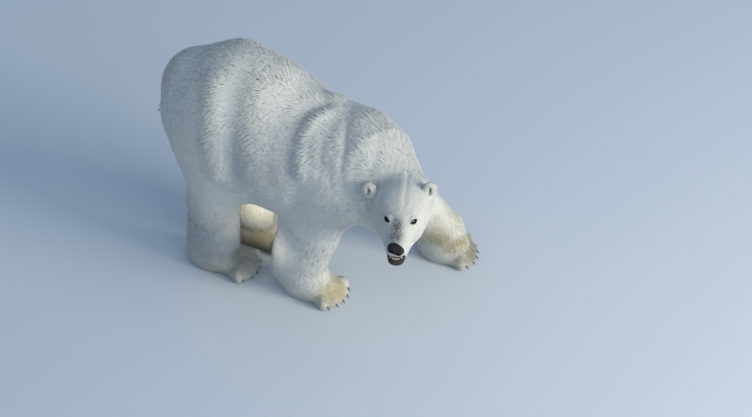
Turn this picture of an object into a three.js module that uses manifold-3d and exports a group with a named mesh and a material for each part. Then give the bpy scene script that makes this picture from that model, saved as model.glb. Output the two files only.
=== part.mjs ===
// A polar bear, life size, standing with its head turned to its right: a still model in solid pieces.
// Millimetres, +X from rump to breast, +Y to the bear's left, +Z up. The floor is Z = 0, and the
// origin is the point on it under the middle of the whole bear.
import * as THREE from "three";
import { mergeVertices } from "three/addons/utils/BufferGeometryUtils.js";
import Module from "manifold-3d";

const wasm = await Module();
wasm.setup();

// Driving sizes. Every outline of the flesh is the coat's, out to the tips of the hair.
const gap = 0.3; // between neighbouring pieces
const middle = [35, -14.5]; // from the point the body is drawn about to the origin
const pawBreadth = 236;
const clawLength = 54;
const clawThickness = 20;
const eyeRadius = 16;
const eyesApart = 122;
const mouthHeight = -88; // of the upper lip, in the head's frame
const mouthCorner = 185; // where the lips part, in the head's frame
const mouthOpening = 42; // between the lips at the front, 100 ahead of the corner

// Stations along the back, from the breast to the rump: place along X, height of the back, height
// of the belly and half the breadth there.
const stations = [
  [340, 1130, 525, 285],
  [160, 1171, 460, 335],
  [10, 1216, 478, 362],
  [-160, 1314, 490, 368],
  [-356, 1363, 540, 361],
];

// Head: the middle of the skull between the ears, and the way it faces in degrees from +X.
const headAt = [703, -254, 900];
const headTurn = -73.5;

// Ears, in the head's frame. The right one is laid out and forward, and the left one stands up.
const ears = { right: [-8, -185, 60], left: [-26, 130, 82] };

const vector = (at) => new THREE.Vector3(...at);
const turned = (degrees) => new THREE.Matrix4().makeRotationZ(THREE.MathUtils.degToRad(degrees));
const straight = new THREE.Matrix4();
const sides = [[-1, "right"], [1, "left"]];

// ---------------------------------------------------------------------------------------------
// Flesh: the trunk, and masses that melt into it and into each other. A mass is a tapered oval
// limb from one point to another. wide is half its breadth and deep half its depth, each at both
// ends, and blend is how far it melts into what it joins.
// ---------------------------------------------------------------------------------------------
const away = new THREE.Vector3();

// Signed distance to an oval from a place measured from its middle, negative inside it.
function toOval(x, y, z, a, b, c) {
  const near = Math.hypot(x / a, y / b, z / c);
  if (near < 1e-6) return -Math.min(a, b, c);
  return (near * (near - 1)) / Math.hypot(x / a ** 2, y / b ** 2, z / c ** 2);
}

function mass(from, to, wide, deep, blend, front = [0, 0, 1]) {
  const along = vector(to).sub(vector(from));
  const length = along.length();
  along.normalize();
  const side = new THREE.Vector3().crossVectors(vector(front), along).normalize();
  const lift = new THREE.Vector3().crossVectors(along, side);
  return { from: vector(from), along, length, side, lift, wide, deep, blend };
}

function toMass(point, m) {
  away.subVectors(point, m.from);
  const run = away.dot(m.along);
  const share = THREE.MathUtils.clamp(run / m.length, 0, 1);
  const wide = THREE.MathUtils.lerp(...m.wide, share);
  const deep = THREE.MathUtils.lerp(...m.deep, share);
  const past = run - share * m.length;
  return toOval(away.dot(m.side), away.dot(m.lift), past, wide, deep, (wide + deep) / 2);
}

// The trunk is drawn smoothly through its stations, and is round at both ends.
function toTrunk(point) {
  const last = stations.length - 1;
  const x = THREE.MathUtils.clamp(point.x, stations[last][0], stations[0][0]);
  let i = 0;
  while (i < last - 1 && x < stations[i + 1][0]) i++;
  const span = stations[i + 1][0] - stations[i][0];
  const t = (x - stations[i][0]) / span;
  const slope = (k, column) => {
    if (k === 0 || k === last) return 0;
    const [before, after] = [stations[k - 1], stations[k + 1]];
    return ((after[column] - before[column]) / (after[0] - before[0])) * span;
  };
  const [back, belly, wide] = [1, 2, 3].map((column) => {
    const from = stations[i][column];
    const rise = stations[i + 1][column] - from;
    const [start, end] = [slope(i, column), slope(i + 1, column)];
    return from + t * (start + t * (3 * rise - 2 * start - end + t * (start + end - 2 * rise)));
  });
  const deep = (back - belly) / 2;
  return toOval(point.y, point.z - belly - deep, point.x - x, wide, deep, (wide + deep) / 2);
}

// The lesser of two distances, rounded where they are within the blend of each other.
function join(a, b, blend) {
  const overlap = Math.max(blend - Math.abs(a - b), 0) / blend;
  return Math.min(a, b) - (overlap * overlap * blend) / 4;
}

const flesh = [];
const feet = [];
const FORE = [1, 0, 0];

// A paw stands flat on the floor at a place, turned from straight ahead, with its heel so far
// behind it and five toes fanned in front.
function paw(name, at, turn, heel, claws) {
  const frame = turned(turn).setPosition(at[0], at[1], 0);
  const on = (x, y, z) => vector([x, y, z]).applyMatrix4(frame).toArray();
  const half = pawBreadth / 2;
  flesh.push(mass(on(-heel, 0, 66), on(45, 0, 40), [half - 26, half - 8], [78, 52], 40));
  const roots = [-2, -1, 0, 1, 2].map((i) => {
    const reach = 104 - 8 * i * i;
    flesh.push(mass(on(62, i * 42, 44), on(reach, i * 47, 28), [32, 28], [44, 33], 12));
    return [reach - 4, i * 47.5, 34];
  });
  feet.push({ name, frame, heel, roots, claws });
}

function foreleg(name, blade, shoulder, elbow, wrist, at, turn) {
  const ankle = [wrist[0] * 0.6 + at[0] * 0.4, wrist[1] * 0.6 + at[1] * 0.4, 75];
  flesh.push(
    mass(blade, shoulder, [83, 103], [137, 152], 110, FORE),
    mass(shoulder, elbow, [116, 120], [149, 162], 90, FORE),
    mass(elbow, wrist, [122, 106], [167, 146], 30, FORE),
    mass(wrist, ankle, [106, 100], [146, 152], 20, FORE),
  );
  paw(name, at, turn, 55, clawLength);
}

function hindleg(name, hip, knee, hock, at, turn) {
  flesh.push(
    mass(hip, knee, [145, 138], [275, 144], 110, FORE),
    mass(knee, hock, [136, 108], [138, 148], 40, FORE),
    mass(hock, [hock[0] - 15, hock[1], 80], [106, 92], [148, 136], 20, FORE),
  );
  paw(name, at, turn, 206, clawLength * 0.85);
}

const rightFore = [[295, -150, 990], [300, -215, 800], [155, -215, 508], [70, -178, 190]];
const leftFore = [[293, 150, 955], [430, 204, 685], [498, 277, 480], [645, 405, 190]];
const rightHind = [[-343, -175, 864], [-408, -205, 510], [-438, -172, 210]];
const leftHind = [[-395, 175, 860], [-285, 195, 510], [-330, 135, 210]];
foreleg("right fore", ...rightFore, [200, -150], -12);
foreleg("left fore", ...leftFore, [728, 420], 8);
hindleg("right hind", ...rightHind, [-320, -150], -6);
hindleg("left hind", ...leftHind, [-225, 120], 4);
flesh.push(mass([-628, 0, 1105], [-632, 0, 975], [160, 177], [127, 105], 120)); // croup
flesh.push(mass([-735, 0, 1000], [-785, 0, 880], [48, 36], [42, 30], 45)); // tail

// In the head's frame x runs to the nose, y to the bear's left and z up.
const headFrame = turned(headTurn).setPosition(...headAt);
const onHead = (x, y, z) => vector([x, y, z]).applyMatrix4(headFrame).toArray();
function headMass(from, to, wide, deep, blend, front = [0, 0, 1]) {
  const ahead = vector(front).transformDirection(headFrame).toArray();
  return mass(onHead(...from), onHead(...to), wide, deep, blend, ahead);
}
flesh.push(
  mass(onHead(-90, 4, -31), [468, -55, 880], [133, 223], [122, 250], 80), // neck
  mass(onHead(-110, 7, -10), [345, 0, 975], [103, 170], [92, 165], 80), // nape
  mass(onHead(40, 0, -110), [550, -74, 705], [110, 144], [67, 194], 80), // throat
  headMass([0, -7, 8], [-60, -7, 5], [139, 145], [110, 115], 40), // cranium
  headMass([125, -3, 0], [20, -3, 22], [88, 128], [68, 94], 50), // forehead
  headMass([266, -8, -58], [100, 0, -40], [58, 90], [46, 72], 40), // muzzle
  headMass([261, -8, -144], [60, -12, -114], [42, 102], [26, 50], 30), // jaw
);
for (const [s, side] of sides) {
  const [x, y, z] = ears[side];
  const ahead = [1, 0.2 + s * 0.2, 0];
  flesh.push(
    headMass([105, s * 67 - 12, -66], [-10, s * 78 - 10, -38], [54, 68], [56, 92], 50), // cheek
    headMass([148, s * 46, 12], [60, s * 66, 34], [28, 48], [26, 40], 30), // brow
    headMass([x + 2, y - s * 16, z - 26], [x - 4, y + s * 2, z + 26], [39, 41], [27, 20], 16, ahead), // ear
  );
}

function toBody(point) {
  return flesh.reduce((d, m) => join(toMass(point, m), d, m.blend), toTrunk(point));
}

// ---------------------------------------------------------------------------------------------
// Solids. A piece of flesh is the body inside one box, cut off square at the box's sides. Each
// box's room is cleared out of the pieces that come after it, so that they meet at a fine gap.
// ---------------------------------------------------------------------------------------------
function solid(geometry) {
  const bare = new THREE.BufferGeometry().setAttribute("position", geometry.attributes.position);
  const merged = mergeVertices(bare.setIndex(geometry.index), 1e-4);
  return new wasm.Manifold(new wasm.Mesh({
    numProp: 3,
    vertProperties: Float32Array.from(merged.attributes.position.array),
    triVerts: Uint32Array.from(merged.index.array),
  }));
}

// A box between two corners of a frame, grown by so much on every side.
function boxOf({ frame, low, high }, grow) {
  const size = low.map((v, i) => high[i] - v + 2 * grow);
  const centre = low.map((v, i) => (high[i] + v) / 2);
  return solid(new THREE.BoxGeometry(...size).translate(...centre).applyMatrix4(frame));
}

// The body's surface within a box, on a lattice of cells laid along the box, and closed off a
// little outside it.
function skinIn({ frame, low, high }, cell) {
  const inverse = frame.clone().invert();
  const reach = Math.max(...cell);
  const local = new THREE.Vector3();
  const field = (point) => {
    const at = local.copy(point).applyMatrix4(inverse).toArray();
    return Math.max(toBody(point), Math.max(...at.map((v, i) => Math.max(low[i] - v, v - high[i]))) - reach);
  };
  const n = low.map((v, i) => Math.ceil((high[i] - v + 2 * reach) / cell[i] + 2));
  const start = low.map((v, i) => (v + high[i] - (n[i] - 1) * cell[i]) / 2);
  const index = (i, j, k) => (i * n[1] + j) * n[2] + k;
  const each = (short, action) => {
    for (let i = 0; i < n[0] - short; i++)
      for (let j = 0; j < n[1] - short; j++)
        for (let k = 0; k < n[2] - short; k++) action(index(i, j, k), [i, j, k]);
  };
  const places = [];
  const values = [];
  each(0, (at, steps) => {
    places[at] = vector(steps.map((v, i) => start[i] + v * cell[i])).applyMatrix4(frame);
    values[at] = field(places[at]);
  });

  // One vertex in each cell that the surface crosses: the middle of the crossings on the cell's
  // edges, slid onto the surface.
  const corners = [0, 1, 2, 3, 4, 5, 6, 7].map((c) => index(c & 1, (c >> 1) & 1, (c >> 2) & 1));
  const slope = (q, axis) => {
    const [ahead, behind] = [2, -2].map((h) => field(q.clone().setComponent(axis, q.getComponent(axis) + h)));
    return (ahead - behind) / 4;
  };
  const points = [];
  const vertexOf = new Map();
  each(1, (at) => {
    const crossings = [];
    for (let c = 0; c < 8; c++)
      for (const bit of [1, 2, 4]) {
        if (c & bit) continue;
        const [from, to] = [at + corners[c], at + corners[c | bit]];
        if (values[from] < 0 === values[to] < 0) continue;
        crossings.push(places[from].clone().lerp(places[to], values[from] / (values[from] - values[to])));
      }
    if (!crossings.length) return;
    const q = crossings.reduce((sum, c) => sum.add(c), new THREE.Vector3()).divideScalar(crossings.length);
    for (let pass = 0; pass < 2; pass++) {
      const uphill = new THREE.Vector3(slope(q, 0), slope(q, 1), slope(q, 2));
      const shift = field(q) / Math.max(uphill.lengthSq(), 0.25);
      q.addScaledVector(uphill, THREE.MathUtils.clamp(-shift, -reach / 4, reach / 4));
    }
    vertexOf.set(at, points.length);
    points.push(q);
  });

  // One four-sided face across each lattice edge that the surface crosses.
  const faces = [];
  const step = [index(1, 0, 0), index(0, 1, 0), index(0, 0, 1)];
  each(1, (at) => {
    for (let axis = 0; axis < 3; axis++) {
      const inside = values[at] < 0;
      if (inside === values[at + step[axis]] < 0) continue;
      const [u, v] = [step[(axis + 1) % 3], step[(axis + 2) % 3]];
      const quad = [at - u - v, at - v, at, at - u].map((c) => vertexOf.get(c));
      if (!inside) quad.reverse();
      faces.push(quad[0], quad[1], quad[2], quad[0], quad[2], quad[3]);
    }
  });
  return solid(new THREE.BufferGeometry().setFromPoints(points).setIndex(faces));
}

const bear = new THREE.Group();
function slot(name, color, roughness) {
  const material = new THREE.MeshStandardMaterial({ color, roughness, metalness: 0 });
  material.name = name.replaceAll(" ", "_");
  return material;
}
const fur = slot("white fur", 0xe6e1d2, 0.9);
const stained = slot("stained fur", 0xd3c79e, 0.9);
const hide = slot("black skin", 0x1c1a1b, 0.45);
const horn = slot("claw horn", 0x2a2420, 0.35);
const wet = slot("eye", 0x120c09, 0.08);

function add(name, shape, material) {
  const { vertProperties, triVerts } = shape.getMesh();
  const geometry = new THREE.BufferGeometry()
    .setAttribute("position", new THREE.BufferAttribute(vertProperties, 3))
    .setIndex(new THREE.BufferAttribute(triVerts, 1))
    .toNonIndexed()
    .translate(-middle[0], -middle[1], 0);
  geometry.computeVertexNormals();
  const node = new THREE.Mesh(geometry, material);
  node.name = name.replaceAll(" ", "_");
  bear.add(node);
}
const cleared = []; // room taken by the pieces added so far
function piece(name, box, cell, material = fur, finish = (shape) => shape) {
  const room = skinIn(box, cell).intersect(boxOf(box, -gap / 2));
  const shape = cleared.reduce((rest, other) => rest.subtract(other), room);
  cleared.push(boxOf(box, gap / 2));
  add(name, finish(shape), material);
}
function ball(centre, radii, grow = 0, [around, rings] = [9, 6]) {
  const round = new THREE.SphereGeometry(1, around, rings).scale(...radii.map((r) => r + grow));
  return solid(round.translate(...centre).applyMatrix4(headFrame));
}

// Eyes sit in sockets that open between the lids, and the nose pad is let into the muzzle's end.
for (const [s, side] of sides) {
  const eyeball = [[150, (s * eyesApart) / 2, 28], [eyeRadius, eyeRadius, eyeRadius]];
  add(side + " eye", ball(...eyeball), wet);
  cleared.push(ball(...eyeball, gap), ball([161, s * (eyesApart / 2 + 11), 35], [15, 15, 11], 0, [6, 4]));
}
const nosePad = [[298, -8, -38], [28, 42, 27]];
add("nose", ball(...nosePad), hide);
cleared.push(ball(...nosePad, gap));

// Claws are rooted in the toes, thick at the root and bent down to a point.
function claw(root, length, grow) {
  const cone = new THREE.ConeGeometry(clawThickness / 2 + grow, length + 2 * grow, 5, 2)
    .rotateZ(-Math.PI / 2)
    .translate(length / 2, 0, 0);
  const vertices = cone.attributes.position;
  for (let i = 0; i < vertices.count; i++) {
    const run = vertices.getX(i);
    vertices.setZ(i, vertices.getZ(i) * 1.15 + 0.2 * run - (run * run) / (1.45 * length));
  }
  return cone.translate(...root);
}
for (const { name, frame, roots, claws } of feet)
  roots.forEach((root, i) => {
    add(name + " claw " + (i + 1), solid(claw(root, claws, 0).applyMatrix4(frame)), horn);
    cleared.push(solid(claw(root, claws, 3 * gap).applyMatrix4(frame)));
  });

// Head. The mouth is a little open: a wedge is off the top of the jaw, whose lip is bare skin.
const inHead = (low, high) => ({ frame: headFrame, low, high });
for (const [s, side] of sides) {
  const [x, y, z] = ears[side];
  const cup = ball([x + 30, y - s * 2, z + 16], [24, 14, 31]);
  const [from, to] = [y - s * 38, y + s * 50].sort((a, b) => a - b);
  const box = inHead([x - 30, from, z + 10], [x + 42, to, z + 84]);
  piece(side + " ear", box, [17, 22, 23], fur, (shape) => shape.subtract(cup));
}
const wedge = solid(new THREE.BoxGeometry(260, 240, 70)
  .translate(130, 0, 35)
  .rotateY(Math.atan2(mouthOpening, 100))
  .translate(mouthCorner, 0, mouthHeight)
  .applyMatrix4(headFrame));
const ajar = (shape) => shape.subtract(wedge);

// The lower teeth stand in the lip: six incisors in a row, and a hooked canine at each end of it.
const teeth = [-4, -2.5, -1.5, -0.5, 0.5, 1.5, 2.5, 4].map((k) => {
  const canine = Math.abs(k) === 4;
  const [tall, wide] = canine ? [25, 6.2] : [13, 4];
  const ahead = 279 - (canine ? 14 : 0.45 * k * k);
  const foot = mouthHeight - ((ahead - mouthCorner) * mouthOpening) / 100 - 4;
  const tooth = new THREE.CylinderGeometry(canine ? 1 : 2.4, wide, tall, 4).rotateX(Math.PI / 2);
  return solid(tooth.translate(ahead, k * 6.7 - 8, foot + tall / 2).applyMatrix4(headFrame));
});
const toothed = (shape) => teeth.reduce((jaw, tooth) => jaw.add(tooth), ajar(shape));
piece("lower lip", inHead([212, -98, -152], [330, 82, mouthHeight]), [20, 20, 16], hide, toothed);
piece("lower jaw", inHead([70, -130, -215], [330, 130, mouthHeight]), [40, 33, 30], fur, ajar);
piece("head", inHead([-95, -240, -260], [340, 218, 185]), [45, 36, 35]);
const neckFrame = turned(-38).setPosition(470, 10, 0);
piece("neck", { frame: neckFrame, low: [0, -450, 620], high: [520, 450, 1250] }, [78, 74, 74]);

// Legs, from the paws up, then the trunk between them. The soles are flat on the floor.
for (const { name, frame, heel } of feet) {
  const box = { frame, low: [-heel - 150, -150, -gap / 2], high: [180, 150, 130] };
  piece(name + " paw", box, [60, 23.5, 54], stained);
}
function upright(name, s, from, to, cell) {
  const [y0, y1] = [s * from[1], s * to[1]].sort((a, b) => a - b);
  piece(name, { frame: straight, low: [from[0], y0, from[2]], high: [to[0], y1, to[2]] }, cell);
}
upright("right forearm", -1, [-160, 0, 130], [500, 520, 400], [66, 62, 84]);
upright("left forearm", 1, [200, 60, 130], [900, 620, 400], [66, 62, 84]);
upright("right upper arm", -1, [-60, 215, 400], [500, 520, 960], [84, 74, 88]);
upright("left upper arm", 1, [200, 215, 400], [760, 620, 960], [84, 74, 88]);
upright("right shank", -1, [-800, 0, 130], [-100, 520, 470], [66, 62, 84]);
upright("left shank", 1, [-800, 0, 130], [60, 520, 470], [66, 62, 84]);
upright("right thigh", -1, [-720, 215, 470], [-110, 520, 1010], [88, 78, 88]);
upright("left thigh", 1, [-720, 215, 470], [-40, 520, 1010], [88, 78, 88]);
upright("tail", 1, [-900, -90, 800], [-762, 90, 1150], [36, 36, 50]);
upright("chest", 1, [140, -500, 380], [800, 500, 1300], [105, 102, 102]);
upright("loins", 1, [-150, -500, 380], [140, 500, 1400], [97, 112, 112]);
upright("rump", 1, [-900, -500, 400], [-150, 500, 1450], [118, 118, 118]);

export default bear;
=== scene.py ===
"""The polar bear dressed: one skin with eyes, nose, mouth and claws, under a coat of solid tufts.
Life size, in metres."""

import math

import bpy
import numpy as np
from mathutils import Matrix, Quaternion, Vector, noise


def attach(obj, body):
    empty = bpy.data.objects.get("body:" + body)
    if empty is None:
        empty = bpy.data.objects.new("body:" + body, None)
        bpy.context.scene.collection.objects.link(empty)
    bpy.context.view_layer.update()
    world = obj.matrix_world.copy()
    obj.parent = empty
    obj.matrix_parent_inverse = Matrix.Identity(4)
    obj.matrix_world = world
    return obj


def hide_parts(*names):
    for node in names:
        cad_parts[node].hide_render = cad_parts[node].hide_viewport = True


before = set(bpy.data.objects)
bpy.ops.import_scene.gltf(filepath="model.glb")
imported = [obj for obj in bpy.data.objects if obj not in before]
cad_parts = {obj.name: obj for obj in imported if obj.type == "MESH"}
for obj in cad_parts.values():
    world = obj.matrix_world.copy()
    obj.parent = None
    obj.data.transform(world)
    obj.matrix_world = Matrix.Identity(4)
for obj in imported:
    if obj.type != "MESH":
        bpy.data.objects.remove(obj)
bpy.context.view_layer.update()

# ---------------------------------------------------------------------------------------------
# Hide. One unbroken skin over the whole bear, loose enough to fold at the shoulder and the flank,
# drawn in from the body's outline by the depth of the coat. Bare and black at the lids and lips.
# ---------------------------------------------------------------------------------------------
# Sizes here are millimetres, from the point that the body is drawn about.
drawn_about = np.array([35.0, -14.5, 0.0])
floor_gap = 0.5
paw_breadth = 236.0

# Stations along the back: place, height of the back, height of the belly, half the breadth.
stations = np.array([
    [-356, 1363, 540, 361],
    [-160, 1314, 490, 368],
    [10, 1216, 478, 362],
    [160, 1171, 460, 335],
    [340, 1130, 525, 285],
], float)
trunk_coat = 26.0
trunk_lie = np.array([-0.96, 0.0, -0.2])


def unit(v):
    v = np.asarray(v, float)
    return v / np.maximum(np.linalg.norm(v, axis=-1, keepdims=True), 1e-9)


def upright(turn, at=(0, 0, 0)):
    """A frame turned so many degrees about the upright, with its foot at a place."""
    m = np.eye(4)
    c, s = math.cos(math.radians(turn)), math.sin(math.radians(turn))
    m[:2, :2] = [[c, -s], [s, c]]
    m[:3, 3] = at
    return m


def placed(m, at):
    return np.asarray(at, float) @ m[:3, :3].T + m[:3, 3]


flesh = []


def mass(start, end, wide, deep, blend, coat, part, front=(0, 0, 1)):
    """A tapered oval limb, with the depth of its coat at both ends. Its hair lies from start to end."""
    start, end = np.asarray(start, float), np.asarray(end, float)
    along = unit(end - start)
    side = unit(np.cross(front, along))
    axes = np.stack([side, np.cross(along, side), along])
    flesh.append((start, np.linalg.norm(end - start), axes, wide, deep, blend, coat, part))


FORE = (1, 0, 0)
feet = []


def paw(part, at, turn, heel, claw):
    m = upright(turn, (*at, 0))
    half = paw_breadth / 2
    sole = placed(m, (-heel, 0, 66)), placed(m, (45, 0, 40))
    mass(*sole, (half - 26, half - 8), (78, 52), 40, (10, 7), part)
    for i in range(-2, 3):
        reach = 104 - 8 * i * i
        toe = placed(m, (62, i * 42, 44)), placed(m, (reach, i * 47, 28))
        mass(*toe, (32, 28), (44, 33), 24, (6, 4), part)
    feet.append((part, m, claw))


def foreleg(side, blade, shoulder, elbow, wrist, at, turn):
    ankle = (wrist[0] * 0.6 + at[0] * 0.4, wrist[1] * 0.6 + at[1] * 0.4, 75)
    mass(blade, shoulder, (83, 103), (137, 152), 110, (25, 24), side + " shoulder", FORE)
    mass(shoulder, elbow, (116, 120), (149, 162), 90, (24, 20), side + " shoulder", FORE)
    mass(elbow, wrist, (122, 106), (167, 146), 30, (19, 15), side + " foreleg", FORE)
    mass(wrist, ankle, (106, 100), (146, 152), 20, (14, 11), side + " foreleg", FORE)
    paw(side + " foreleg", at, turn, 55, 54)


def hindleg(side, hip, knee, hock, at, turn):
    mass(hip, knee, (145, 138), (275, 144), 110, (26, 21), side + " haunch", FORE)
    mass(knee, hock, (136, 108), (138, 148), 40, (20, 14), side + " hind leg", FORE)
    mass(hock, (hock[0] - 15, hock[1], 80), (106, 92), (148, 136), 20, (13, 11), side + " hind leg", FORE)
    paw(side + " hind leg", at, turn, 206, 46)


foreleg("right", (295, -150, 990), (300, -215, 800), (155, -215, 508), (70, -178, 190), (200, -150), -12)
foreleg("left", (293, 150, 955), (430, 204, 685), (498, 277, 480), (645, 405, 190), (728, 420), 8)
hindleg("right", (-343, -175, 864), (-408, -205, 510), (-438, -172, 210), (-320, -150), -6)
hindleg("left", (-395, 175, 860), (-285, 195, 510), (-330, 135, 210), (-225, 120), 4)
mass((-628, 0, 1105), (-632, 0, 975), (160, 177), (127, 105), 120, (26, 24), "right haunch")  # croup
mass((-735, 0, 1000), (-785, 0, 880), (48, 36), (42, 30), 45, (20, 16), "right haunch")  # tail

# The head's frame has x to the nose, y to the bear's left and z up, from the middle of the skull.
head = upright(-73.5, (703, -254, 900))
eyes_apart = 122.0
ears = {-1: (-8, -185, 60), 1: (-26, 130, 82)}
mass(placed(head, (-90, 4, -31)), (468, -55, 880), (133, 223), (122, 250), 80, (13, 26), "neck")
mass(placed(head, (-110, 7, -10)), (345, 0, 975), (103, 170), (92, 165), 80, (12, 26), "neck")
mass(placed(head, (40, 0, -110)), (550, -74, 705), (110, 144), (67, 194), 80, (14, 26), "neck")


def head_mass(start, end, wide, deep, blend, coat, front=(0, 0, 1), part="face"):
    front = head[:3, :3] @ np.array(front, float)
    mass(placed(head, start), placed(head, end), wide, deep, blend, coat, part, front)


head_mass((0, -7, 8), (-60, -7, 5), (139, 145), (110, 115), 40, (7, 10), part="crown")
head_mass((125, -3, 0), (20, -3, 22), (88, 128), (68, 94), 50, (4, 6))
head_mass((266, -8, -58), (100, 0, -40), (58, 90), (46, 72), 40, (2.5, 4))
head_mass((261, -8, -144), (60, -12, -114), (42, 102), (26, 50), 30, (3, 12))
for s, (x, y, z) in ears.items():
    head_mass((105, s * 67 - 12, -66), (-10, s * 78 - 10, -38), (54, 68), (56, 92), 50, (4, 11))
    head_mass((148, s * 46, 12), (60, s * 66, 34), (28, 48), (26, 40), 30, (3, 4))
    low, high = (x + 2, y - s * 16, z - 26), (x - 4, y + s * 2, z + 26)
    head_mass(low, high, (39, 41), (27, 20), 16, (5, 4), (1, 0.2 + s * 0.2, 0), "crown")


def oval(x, y, z, a, b, c):
    """How far outside an oval of half sizes a, b and c each place is, negative inside it."""
    x, y, z = x / a, y / b, z / c
    near = np.sqrt(x * x + y * y + z * z)
    x, y, z = x / a, y / b, z / c
    return near * (near - 1) / np.maximum(np.sqrt(x * x + y * y + z * z), 1e-6)


def join(a, b, blend):
    """The lesser of two distances, rounded where they are within the blend of each other."""
    return np.minimum(a, b) - np.maximum(blend - np.abs(a - b), 0) ** 2 / (4 * blend)


def cut(a, b, blend):
    """Distance a with b's inside taken out of it."""
    return -join(-a, b, blend)


def to_trunk(p):
    x = np.clip(p[:, 0], stations[0, 0], stations[-1, 0])
    i = np.clip(np.searchsorted(stations[:, 0], x) - 1, 0, len(stations) - 2)
    slopes = np.gradient(stations[:, 1:], axis=0)
    slopes[1:-1] = (stations[2:, 1:] - stations[:-2, 1:]) / (stations[2:, :1] - stations[:-2, :1])
    slopes[[0, -1]] = 0
    span = (stations[i + 1, 0] - stations[i, 0])[:, None]
    t = (x - stations[i, 0])[:, None] / span
    low, rise = stations[i, 1:], stations[i + 1, 1:] - stations[i, 1:]
    begin, finish = slopes[i] * span, slopes[i + 1] * span
    at = low + t * (begin + t * (3 * rise - 2 * begin - finish + t * (begin + finish - 2 * rise)))
    deep = (at[:, 0] - at[:, 1]) / 2
    return oval(p[:, 1], p[:, 2] - at[:, 1] - deep, p[:, 0] - x, at[:, 2], deep, (at[:, 2] + deep) / 2)


def body(p):
    """Distance to the body out to the coat's tips, to each mass of it, and each one's depth of coat."""
    own, coats = [to_trunk(p)], [np.full(len(p), trunk_coat)]
    whole = own[0]
    for start, length, axes, wide, deep, blend, coat, _ in flesh:
        q = (p - start) @ axes.T
        share = np.clip(q[:, 2] / length, 0, 1)
        w = wide[0] + (wide[1] - wide[0]) * share
        d = deep[0] + (deep[1] - deep[0]) * share
        own.append(oval(q[:, 0], q[:, 1], q[:, 2] - share * length, w, d, (w + d) / 2))
        coats.append(coat[0] + (coat[1] - coat[0]) * share)
        whole = join(own[-1], whole, blend)
    return whole, np.stack(own), np.stack(coats)


def belonging(own):
    """How much each point belongs to each mass."""
    weight = np.exp((own.min(0) - own) / 26)
    return weight / weight.sum(0)


def in_runs(work, p, size=16384):
    return np.concatenate([work(p[i:i + size]) for i in range(0, len(p), size)])


# Folds and hollows of the loose skin: how wide each is, how high it stands, and its course. They
# are the ridge of the thigh and the hollow ahead of it, the hollow behind the shoulder blade with
# the blade's rim, and the furrows of the neck.
folds = [
    (62, 17, [(-385, -200, 1290), (-360, -285, 1210), (-350, -345, 1080),
              (-325, -362, 950), (-318, -362, 860)]),
    (62, -15, [(-255, -90, 1330), (-235, -265, 1215), (-214, -352, 1030), (-205, -360, 860)]),
    (70, 12, [(-385, 200, 1290), (-350, 300, 1190), (-326, 350, 1066), (-332, 360, 880)]),
    (60, -11, [(-250, 265, 1215), (-232, 352, 1030), (-225, 360, 860)]),
    (46, -31, [(150, 20, 1172), (90, -83, 1175), (72, -180, 1140), (77, -267, 1062), (95, -320, 961)]),
    (110, -24, [(0, -190, 1150), (15, -340, 965)]),
    (38, 13, [(215, 30, 1160), (150, -90, 1160), (128, -170, 1135), (128, -240, 1090), (150, -305, 975)]),
    (26, -4, [(232, -160, 1122), (262, -285, 985)]),
    (26, -8, [(318, -50, 1150), (360, -180, 1092), (378, -272, 985)]),
    (46, 4, [(400, -80, 1140), (470, -205, 1055)]),
    (30, -3, [(478, -40, 1130), (525, -235, 1000)]),
    (50, -16, [(75, 149, 1159), (77, 267, 1062), (95, 320, 961)]),
    (44, 8, [(168, 50, 1172), (152, 215, 1108), (178, 309, 956)]),
]


def folded(p, d):
    """A distance made less on the ridges of the skin, and more in its hollows."""
    for width, height, course in folds:
        nearest = np.full(len(p), 1e9)
        for a, b in zip(course[:-1], course[1:]):
            a, run = np.array(a, float), np.subtract(b, a)
            t = np.clip((p - a) @ run / (run @ run), 0, 1)
            nearest = np.minimum(nearest, ((p - a - t[:, None] * run) ** 2).sum(1))
        d = d - height * np.exp(-nearest / width**2)
    return d


# The face. Each eye looks out and a little up, between lids that slant up to their outer corner.
# The muzzle is bent a little to the bear's right, and the lower jaw drops from the hinge.
eye_radius = 16.0
lid_thickness = 2.4
eye_slant = 6.0
lid_slit, lid_rim = (15, 6.6), (22, 9.6)
ear_hollow = (30, 11, 30)
nose_tilt = 22.0
nose_middle = (298, -8, -38)
nose_half = (28, 43, 23)
muzzle_side = -8
mouth_hinge, mouth_corner, mouth_height, mouth_drop = 185.0, 222.0, -88.0, 0.42
chin_depth = 42


def eye_frame(s):
    """The eyeball's middle, the lids' long way, the way up them and the way out, in the head's frame."""
    out = unit((0.66, s * 0.64, 0.40))
    up = unit(np.array([0, 0, 1]) - out[2] * out)
    back = unit(np.array([-out[1], out[0], 0.0])) * s
    turn = math.radians(eye_slant)
    long_way = back * math.cos(turn) + up * math.sin(turn)
    centre = np.array([147, s * (eyes_apart / 2 - 3), 26])
    return centre, long_way, up * math.cos(turn) - back * math.sin(turn), out


def almond(q, s, wide, high):
    """Distance in the plane of the lids to a slit with two pointed corners."""
    centre, long_way, up, _ = eye_frame(s)
    u, v = (q - centre) @ long_way, (q - centre) @ up
    radius = (wide * wide + high * high) / (2 * high)
    return np.maximum(np.hypot(u, v - radius + high), np.hypot(u, v + radius - high)) - radius


def jaw_top(q):
    """The height of the lower lip's edge at each place."""
    return mouth_height - (q[:, 0] - mouth_hinge) * mouth_drop


def bump(x, width):
    return np.exp(-((x / width) ** 2))


def ear_cup(q, s):
    """The hollow in the front of an ear, a narrow one, nearer to the crown."""
    x, y, z = ears[s]
    return oval(q[:, 0] - x - 27, q[:, 1] - y + s * 3 - 2, q[:, 2] - z - 10, *ear_hollow)


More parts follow.
